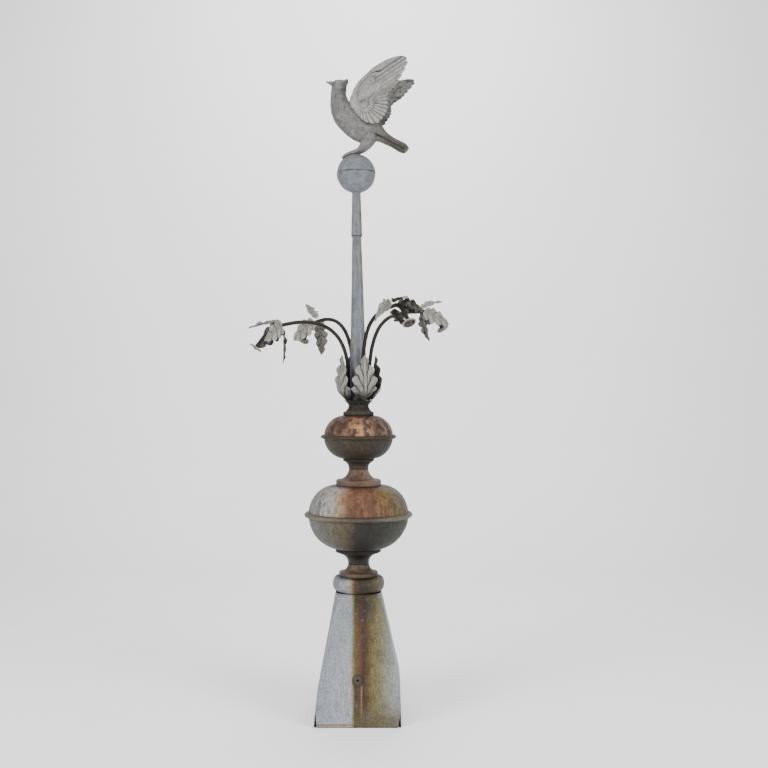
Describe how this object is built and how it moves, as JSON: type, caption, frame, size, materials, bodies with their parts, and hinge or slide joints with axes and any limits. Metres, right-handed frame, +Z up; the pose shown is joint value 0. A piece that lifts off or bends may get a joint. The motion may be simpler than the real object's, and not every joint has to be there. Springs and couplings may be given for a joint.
{
  "type": "roof finial",
  "caption": "Tall weathered zinc roof finial: hollow square skirt, turned bulbs, leaf calyx with iron flower sprays, tapered shaft, ball and a perched bird.",
  "frame": {"origin": "centre of the skirt's bottom edge, on the axis of the roof post that the skirt is slipped over", "axes": "+Z up along the finial, -Y out of the skirt's front with the nail hole, bird facing -X"},
  "size_m": [0.5141, 0.4889, 1.6706],
  "materials": {
    "zinc": "weathered blue-grey zinc, dull",
    "stained_zinc": "zinc stained rust brown and ochre by run-off",
    "dark_zinc": "zinc under a near-black crust",
    "leaf_zinc": "pale green-grey zinc leaf, chalky",
    "stem_iron": "dark brown rusted iron rod"
  },
  "bodies": {
    "root": {"acanthus_leaf_1": "leaf_zinc", "acanthus_leaf_2": "leaf_zinc", "acanthus_leaf_3": "leaf_zinc", "acanthus_leaf_4": "leaf_zinc", "ball_lower": "zinc", "ball_upper": "zinc", "bird_body": "zinc", "bird_wing_left": "zinc", "bird_wing_right": "zinc", "calyx_cup": "dark_zinc", "large_bulb_bead": "stained_zinc", "large_bulb_lower": "stained_zinc", "large_bulb_upper": "stained_zinc", "lower_neck_bottom": "stained_zinc", "lower_neck_top": "stained_zinc", "nail_washer": "stained_zinc", "shaft_lower": "zinc", "shaft_sleeve": "zinc", "skirt": "zinc", "skirt_collar": "zinc", "small_bulb_bead": "stained_zinc", "small_bulb_lower": "stained_zinc", "small_bulb_upper": "stained_zinc", "spray_button_1": "leaf_zinc", "spray_button_2": "leaf_zinc", "spray_button_3": "leaf_zinc", "spray_button_4": "leaf_zinc", "spray_leaf_1_1": "leaf_zinc", "spray_leaf_1_2": "leaf_zinc", "spray_leaf_1_3": "leaf_zinc", "spray_leaf_1_4": "leaf_zinc", "spray_leaf_2_1": "leaf_zinc", "spray_leaf_2_2": "leaf_zinc", "spray_leaf_2_3": "leaf_zinc", "spray_leaf_2_4": "leaf_zinc", "spray_leaf_3_1": "leaf_zinc", "spray_leaf_3_2": "leaf_zinc", "spray_leaf_3_3": "leaf_zinc", "spray_leaf_3_4": "leaf_zinc", "spray_leaf_4_1": "leaf_zinc", "spray_leaf_4_2": "leaf_zinc", "spray_leaf_4_3": "leaf_zinc", "spray_leaf_4_4": "leaf_zinc", "spray_stem_1": "stem_iron", "spray_stem_2": "stem_iron", "spray_stem_3": "stem_iron", "spray_stem_4": "stem_iron", "upper_neck_bottom": "stained_zinc", "upper_neck_top": "stained_zinc"}
  },
  "joints": []
}
